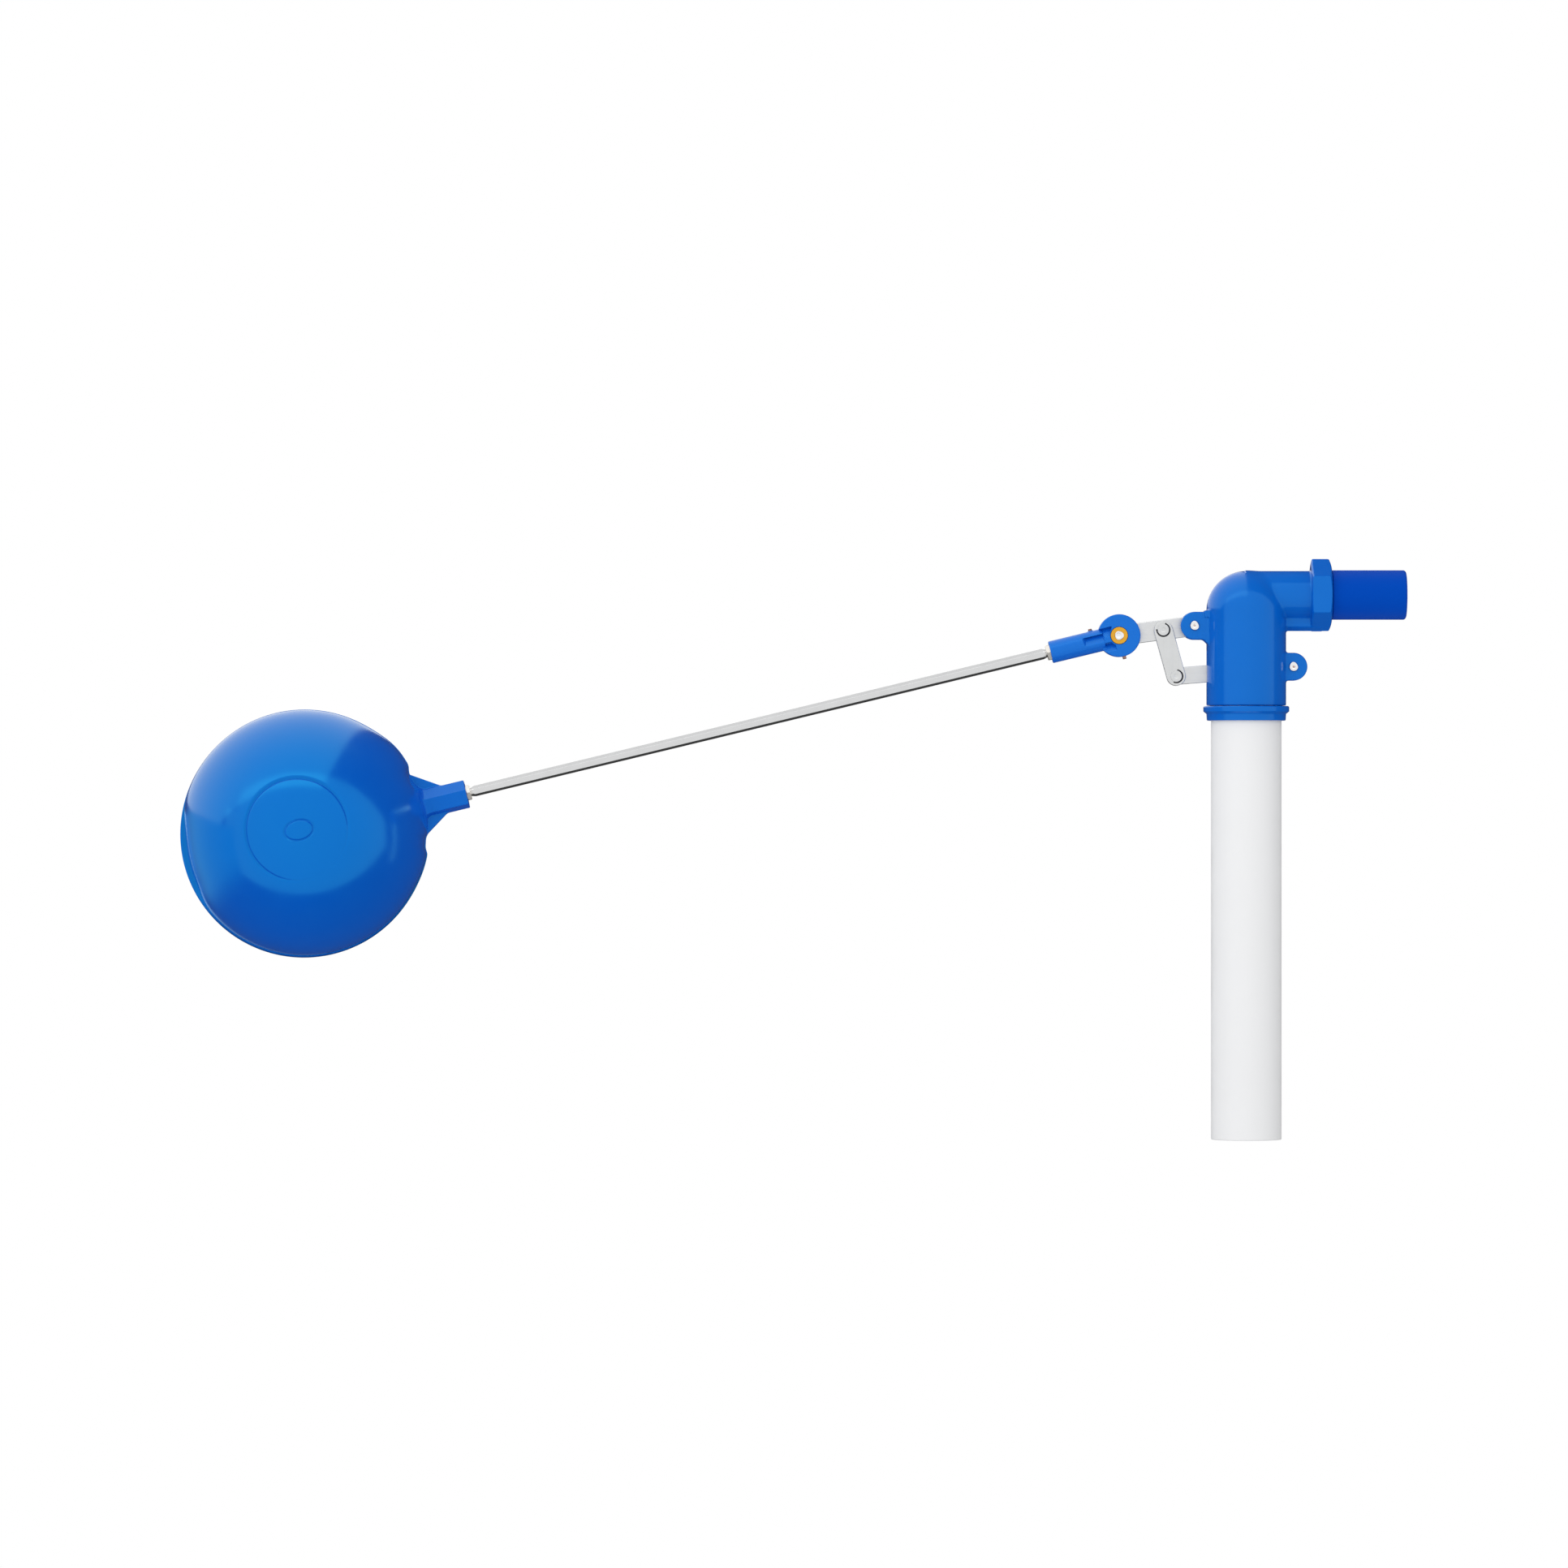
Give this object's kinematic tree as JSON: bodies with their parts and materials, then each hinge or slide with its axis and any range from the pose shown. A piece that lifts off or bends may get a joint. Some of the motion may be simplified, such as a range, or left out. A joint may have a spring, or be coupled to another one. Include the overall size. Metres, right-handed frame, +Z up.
{
  "type": "float valve",
  "caption": "Compound-lever float valve: elbow body with inlet spigot and drop tube, pivoted levers that lift a plug, and a clamped hexagonal arm with a ball float.",
  "frame": {"origin": "on the inlet axis, in the plane of the hexagon's outer shoulder", "axes": "+X out along the inlet spigot, +Z up with the drop tube hanging along -Z, arm and float towards -X, lever pivots along Y"},
  "size_m": [0.6441, 0.1258, 0.3052],
  "materials": {
    "body_plastic": "smooth moulded blue plastic with a soft gloss",
    "spigot_plastic": "deep blue plastic, satin",
    "head_plastic": "smooth moulded blue plastic with a soft gloss",
    "float_plastic": "smooth blow-moulded blue plastic, glossy",
    "tube_pvc": "white pipe plastic, satin",
    "plug_acetal": "off-white engineering plastic",
    "washer_rubber": "black rubber",
    "lever_steel": "stamped stainless sheet, satin",
    "pin_steel": "turned stainless, bright",
    "rod_steel": "drawn hexagonal stainless bar, bright",
    "brass": "turned brass"
  },
  "bodies": {
    "housing": {"valve_body": "body_plastic", "inlet_spigot": "spigot_plastic", "seat_ring": "brass", "outlet_collar": "body_plastic", "discharge_tube": "tube_pvc", "lever_pin": "pin_steel", "rocker_pin": "pin_steel"},
    "lever": {"float_lever": "lever_steel"},
    "link": {"link_plate_front": "lever_steel", "link_plate_rear": "lever_steel", "link_rivet_upper": "lever_steel", "link_rivet_lower": "lever_steel"},
    "rocker": {"rocker_lever": "lever_steel"},
    "plug": {"plug_body": "plug_acetal", "plug_washer": "washer_rubber", "washer_screw": "pin_steel"},
    "arm": {"arm_head": "head_plastic", "head_insert": "brass", "clamp_bolt": "pin_steel", "clamp_washer": "pin_steel", "insert_screw": "brass", "rod_screw": "pin_steel", "arm_rod": "rod_steel", "lock_nut_head": "rod_steel", "lock_nut_float": "rod_steel", "float_half_front": "float_plastic", "float_half_rear": "float_plastic", "float_boss": "float_plastic", "float_insert": "brass"}
  },
  "joints": [
    {"name": "float_lever", "type": "hinge", "parent": "housing", "child": "lever", "pos_m": [-0.07216, 0, -0.0162], "axis": [0, 1, 0], "range_deg": [0, 36]},
    {"name": "arm_clamp", "type": "hinge", "parent": "lever", "child": "arm", "pos_m": [-0.11162, 0, -0.02136], "axis": [0, 1, 0], "range_deg": [-40, 40]},
    {"name": "link_pivot", "type": "hinge", "parent": "lever", "child": "link", "pos_m": [-0.08838, 0, -0.01832], "axis": [0, 1, 0], "range_deg": [-32.6, 0]},
    {"name": "rocker_pivot", "type": "hinge", "parent": "housing", "child": "rocker", "pos_m": [-0.02013, 0, -0.0377], "axis": [0, 1, 0], "range_deg": [0, 9.1]},
    {"name": "plug_lift", "type": "slide", "parent": "housing", "child": "plug", "axis": [0, 0, 1], "range_m": [0, 0.0039]}
  ],
  "couplings": [
    {"joint": "link_pivot", "follows": "float_lever", "ratio": -0.904},
    {"joint": "rocker_pivot", "follows": "float_lever", "ratio": 0.251},
    {"joint": "plug_lift", "follows": "float_lever", "m_per_rad": 0.00618}
  ]
}
